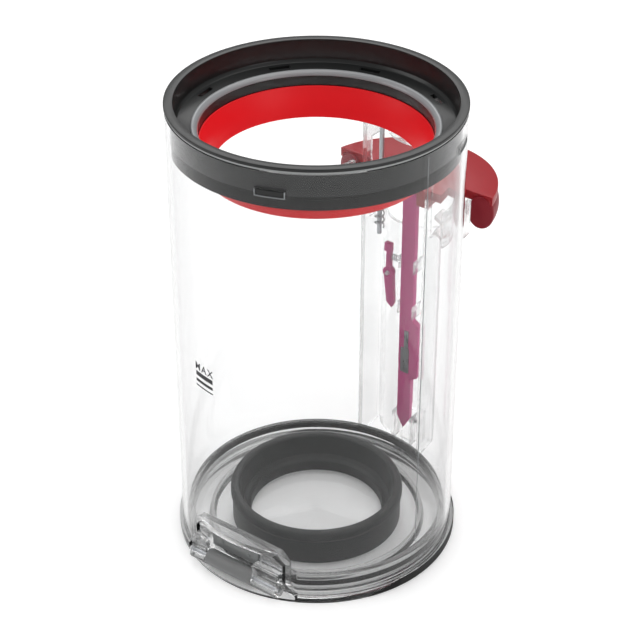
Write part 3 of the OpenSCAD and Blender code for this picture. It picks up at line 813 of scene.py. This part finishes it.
# %% Wiper
wiper_low, wiper_high = (corner.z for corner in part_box("wiper_collar"))
WIPER_R = 45.2 * MM
WIPER_TAPER = 4.8 * MM
WIPER_GAP = 0.05 * MM
lip_in = WIPER_R - WIPER_TAPER
wiper = turned(
    "wiper",
    [(bead_in, wiper_high), (WIPER_R, wiper_high), (lip_in, wiper_low + 0.4 * MM),
     (lip_in + 0.8 * MM, wiper_low), (WIPER_R - 0.6 * MM, wiper_low + 0.7 * MM),
     (WIPER_R, wiper_low + 1.3 * MM), (hub_r - 0.5 * MM, wiper_low + 5.2 * MM),
     (hub_r - 0.1 * MM, hub_low - WIPER_GAP), (bead_in, hub_low - WIPER_GAP)],
    0.25 * MM,
)
dress(wiper, "bin", "wiper", wiper_rubber, "wiper_collar")
print("wiper from", round(wiper_low, 4), "to", round(wiper_high, 4))

# %% [markdown]
# ## The base
# The base is a clear door. Its floor carries a low ridge, an upstand that reaches into the tube, and a
# flange that stands a little proud of it. The floor is turned, the upstand is cut flat beside the hinge's
# recess, and the whole is thin enough there for the recess wall to pass.

# %% Base
base_low, base_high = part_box("base_door")
flange_r = base_high.x
upstand_top = base_high.z
FLANGE_T = 3.8 * MM
FLOOR_T = 2.4 * MM
UPSTAND_WALL = 2.7 * MM
upstand_r = tube_in - 0.6 * MM
RIDGE_R = 45.5 * MM
RIDGE_TOP = 6.2 * MM
FOOT_IN = 30 * MM
FOOT_OUT = 55.5 * MM
FOOT_RELIEF = 0.8 * MM

base = turned(
    "base_disc",
    [(0, 0), (FOOT_IN, 0), (FOOT_IN + FOOT_RELIEF, FOOT_RELIEF),
     (FOOT_OUT - FOOT_RELIEF, FOOT_RELIEF), (FOOT_OUT, 0), (flange_r, 0), (flange_r, FLANGE_T),
     (upstand_r - UPSTAND_WALL, FLANGE_T), (upstand_r - UPSTAND_WALL - 2.4 * MM, FLOOR_T),
     (RIDGE_R + 1.6 * MM, FLOOR_T), (RIDGE_R + 0.7 * MM, RIDGE_TOP - 0.4 * MM), (RIDGE_R, RIDGE_TOP),
     (RIDGE_R - 0.7 * MM, RIDGE_TOP - 0.4 * MM), (RIDGE_R - 1.6 * MM, FLOOR_T), (0, FLOOR_T)],
    0.01 * MM,
)
NOTCH_HALF = 28.5 * MM
NOTCH_Y = RECESS_Y + 0.8 * MM
LIP_T = 1.2 * MM
combine(base, block((-NOTCH_HALF, -BEYOND, LIP_T), (NOTCH_HALF, NOTCH_Y, FLANGE_T + 1 * MM)))
smooth(base, 35)
dress(base, "base", "clear", base_plastic, "base_door")

FLAT_GAP = 0.9 * MM
FLAT_T = 2 * MM
flat_y = RECESS_Y + RECESS_WALL + FLAT_GAP
upstand_foot = FLANGE_T - 0.3 * MM
upstand = turned(
    "base_upstand",
    [(upstand_r, upstand_foot), (upstand_r, upstand_top), (upstand_r - UPSTAND_WALL, upstand_top),
     (upstand_r - UPSTAND_WALL, upstand_foot)],
    0.4 * MM,
)
combine(upstand, block((-BEYOND, -BEYOND, 0), (BEYOND, flat_y, 30 * MM)))
flat_half = math.sqrt(upstand_r**2 - flat_y**2) - 0.3 * MM
flat = block((-flat_half, flat_y, upstand_foot), (flat_half, flat_y + FLAT_T, upstand_top))
combine(upstand, flat, "UNION")
smooth(upstand, 35)
dress(upstand, "base", "clear", base_plastic)
print("base faces:", len(base.data.polygons), len(upstand.data.polygons))

# %% [markdown]
# The seal in the middle is a tall cup of dark rubber. Its thick lip overhangs a plain wall, and inside it
# tapers to the bore that grips the machine's pot. A pale ring sits in its foot and holds it down; that ring
# is not built here, and its CAD node is hidden.

# %% Centre seal
seal_low, seal_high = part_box("centre_seal")
seal_r = seal_high.x
seal_top = seal_high.z
wall_r = seal_r - 0.7 * MM
lip_z = seal_top - 4.8 * MM
lip_r = seal_r - 4 * MM
STEP_Z = 8.6 * MM
BORE_R = 28.6 * MM
seal = turned(
    "seal",
    [(BORE_R, seal_low.z), (wall_r, seal_low.z), (wall_r, lip_z), (seal_r, lip_z + 0.8 * MM),
     (seal_r, seal_top - 1.4 * MM), (seal_r - 0.5 * MM, seal_top - 0.4 * MM), (seal_r - 1.5 * MM, seal_top),
     (lip_r + 0.8 * MM, seal_top), (lip_r, seal_top - 0.8 * MM), (lip_r - 1.3 * MM, STEP_Z + 0.6 * MM),
     (BORE_R + 1.2 * MM, STEP_Z), (BORE_R, STEP_Z - 1.2 * MM)],
    0.3 * MM,
)
dress(seal, "base", "seal", seal_rubber, "centre_seal", "seal_retainer")
print("seal faces:", len(seal.data.polygons))

# %% [markdown]
# ## The runner
# The runner is a clear rail welded to the tube's back: two side walls and a round hollow between them,
# which lies on the machine's guide. The red rod hides in the space behind the hollow. Its section is drawn
# once and extruded up the tube, then a window is cut for the lever.

# %% Runner
rail_low, rail_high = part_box("runner_rail")
RAIL_HALF = 15.6 * MM
RAIL_WALL = 1.8 * MM
HOLLOW_R = 17.2 * MM
HOLLOW_Y = 82 * MM
rail_edge = rail_high.y
skin_r = tube_r + SLIVER


def on_circle(radius, x, centre=0.0, side=1):
    """The point of a circle about (0, centre) at an x, on its +Y or -Y side."""
    return (x, centre + side * math.sqrt(radius**2 - x**2))


rail_out = RAIL_HALF + RAIL_WALL
hollow_edge = math.sqrt(HOLLOW_R**2 - (HOLLOW_Y - rail_edge) ** 2)
ARC_STEPS = 28
right_side = [on_circle(skin_r, RAIL_HALF + SLIVER), on_circle(skin_r, rail_out),
              (rail_out, rail_edge), (hollow_edge, rail_edge)]
inner_arc = [on_circle(HOLLOW_R, hollow_edge * (1 - 2 * i / ARC_STEPS), HOLLOW_Y, -1)
             for i in range(1, ARC_STEPS)]
left_side = [(-x, y) for x, y in reversed(right_side)]
outer_arc = [on_circle(HOLLOW_R + RAIL_WALL, RAIL_HALF * (2 * i / ARC_STEPS - 1), HOLLOW_Y, -1)
             for i in range(ARC_STEPS + 1)]
rail = extruded(
    "runner", [(x, y, rail_low.z) for x, y in right_side + inner_arc + left_side + outer_arc],
    (0, 0, rail_high.z - rail_low.z),
)
lever_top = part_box("release_lever")[1].z
WINDOW_Y = tube_r + 2.1 * MM
WINDOW_DOWN = 22 * MM
WINDOW_UP = 16 * MM
BEHIND = 90 * MM  # farther back than the runner
combine(rail, block((-BESIDE, WINDOW_Y, lever_top - WINDOW_DOWN), (BESIDE, BEHIND, lever_top + WINDOW_UP)))
cheek_low, cheek_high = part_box("catch_housing")
CATCH_ROOM = 0.3 * MM
combine(rail, block(
    (cheek_low.x - CATCH_ROOM, tube_r + CATCH_ROOM, -10 * MM),
    (cheek_high.x + CATCH_ROOM, BEHIND, cheek_high.z + CATCH_ROOM),
))
bevelled(rail, 0.2 * MM, 1, 60)
smooth(rail, 25)
dress(rail, "bin", "clear", rail_plastic, "runner_rail")
print("runner faces:", len(rail.data.polygons))

# %% [markdown]
# ## Marks on the tube
# The tube carries a fill mark, printed in dark grey: a short word and three bars that grow thinner
# downwards. Each letter is a thin plate that touches the wall, and each bar is a strip that follows it.
# A fine upright line shows where the two halves of the mould met.

# %% Fill mark and mould line
MARK_AZIMUTHS = {"M": -16.2, "A": -12.3, "X": -8.6}
MARK_Z = 99.9 * MM
LETTER_SIZE = 4.6 * MM
STROKE_SWELL = 0.04 * MM
INK_T = 0.06 * MM
reach = tube_r + INK_T
ink = moulded("mark_ink", colour(52, 52, 54), 0.5, 0.2 * MM, 0.001 * MM)

for letter, azimuth in MARK_AZIMUTHS.items():
    select_none()
    bpy.ops.object.text_add()
    mark = bpy.context.active_object
    mark.data.body = letter
    mark.data.size = LETTER_SIZE
    mark.data.extrude = INK_T / 2
    mark.data.offset = STROKE_SWELL
    mark.data.align_x = "CENTER"
    bpy.ops.object.convert(target="MESH")
    turn = math.radians(azimuth)
    mark.location = (reach * math.sin(turn), -reach * math.cos(turn), MARK_Z)
    mark.rotation_euler = (math.pi / 2, 0, turn)
    bpy.ops.object.transform_apply(location=True, rotation=True, scale=True)
    mark.name = "mark_" + letter
    dress(mark, "bin", "gasket", ink)

MARK_BARS = ((96.9, 98.9), (94.1, 95.4), (92.0, 92.6))
BAR_START, BAR_END = -17.5, -7.3
for number, (low, high) in enumerate(MARK_BARS):
    bar = arc_strip(
        "mark_bar_%d" % number, tube_r + 0.005 * MM, reach, low * MM, high * MM, BAR_START, BAR_END, 12
    )
    dress(bar, "bin", "gasket", ink)

LINE_START, LINE_END = 81.3, 81.6
LINE_LOW, LINE_HIGH = 18 * MM, 197.4 * MM
mould_line = arc_strip(
    "mould_line", tube_r - 0.1 * MM, tube_r + 0.12 * MM, LINE_LOW, LINE_HIGH, LINE_START, LINE_END, 2
)
dress(mould_line, "bin", "clear", bead_plastic)
print("letters:", len(MARK_AZIMUTHS), "bars:", len(MARK_BARS))

# %% [markdown]
# A thin black strip, in the gasket's black rubber finish, runs round half of the side of the base's flange.
# It tapers away towards the hinge, because its upper edge is cut by a tilted plane.

# %% Black strip on the flange
BLACK_STRIP_START = 58
BLACK_STRIP_T = 0.25 * MM
BLACK_STRIP_FALL = 14 * MM
# a black strip on the flange's side, tall in its middle and thin at both ends
black_strip = arc_strip(
    "flange_black_strip", flange_r - SLIVER, flange_r + BLACK_STRIP_T, 0.2 * MM, 3.7 * MM,
    BLACK_STRIP_START, BLACK_STRIP_START + 180, 72,
)
hold(black_strip)
bpy.ops.object.mode_set(mode="EDIT")
bpy.ops.mesh.select_all(action="SELECT")
tip = math.radians(BLACK_STRIP_START)
slope = BLACK_STRIP_FALL / flange_r
bpy.ops.mesh.bisect(
    plane_co=(flange_r * math.sin(tip), -flange_r * math.cos(tip), 0.25 * MM),
    plane_no=(-slope * math.cos(tip), -slope * math.sin(tip), 1),
    use_fill=True, clear_outer=True,
)
bpy.ops.object.mode_set(mode="OBJECT")
dress(black_strip, "base", "gasket", gasket_rubber)
print("bumper height:", round(black_strip.dimensions.z / MM, 2), "mm")

# %% [markdown]
# The small steel pieces keep their CAD shape: a pin, a screw or a spring is as round as the frame made it.

# %% Steel pieces
STEEL_NODES = (
    "spring_post", "hinge_pin", "catch_pin", "rod_clip",
    "return_spring", "lock_spring", "catch_spring",
)
for node in STEEL_NODES:
    shape = frame["nodes"][node]
    shape.data.materials.clear()
    shape.data.materials.append(steel)
    smooth(shape, 40)
print("steel pieces:", len(STEEL_NODES))
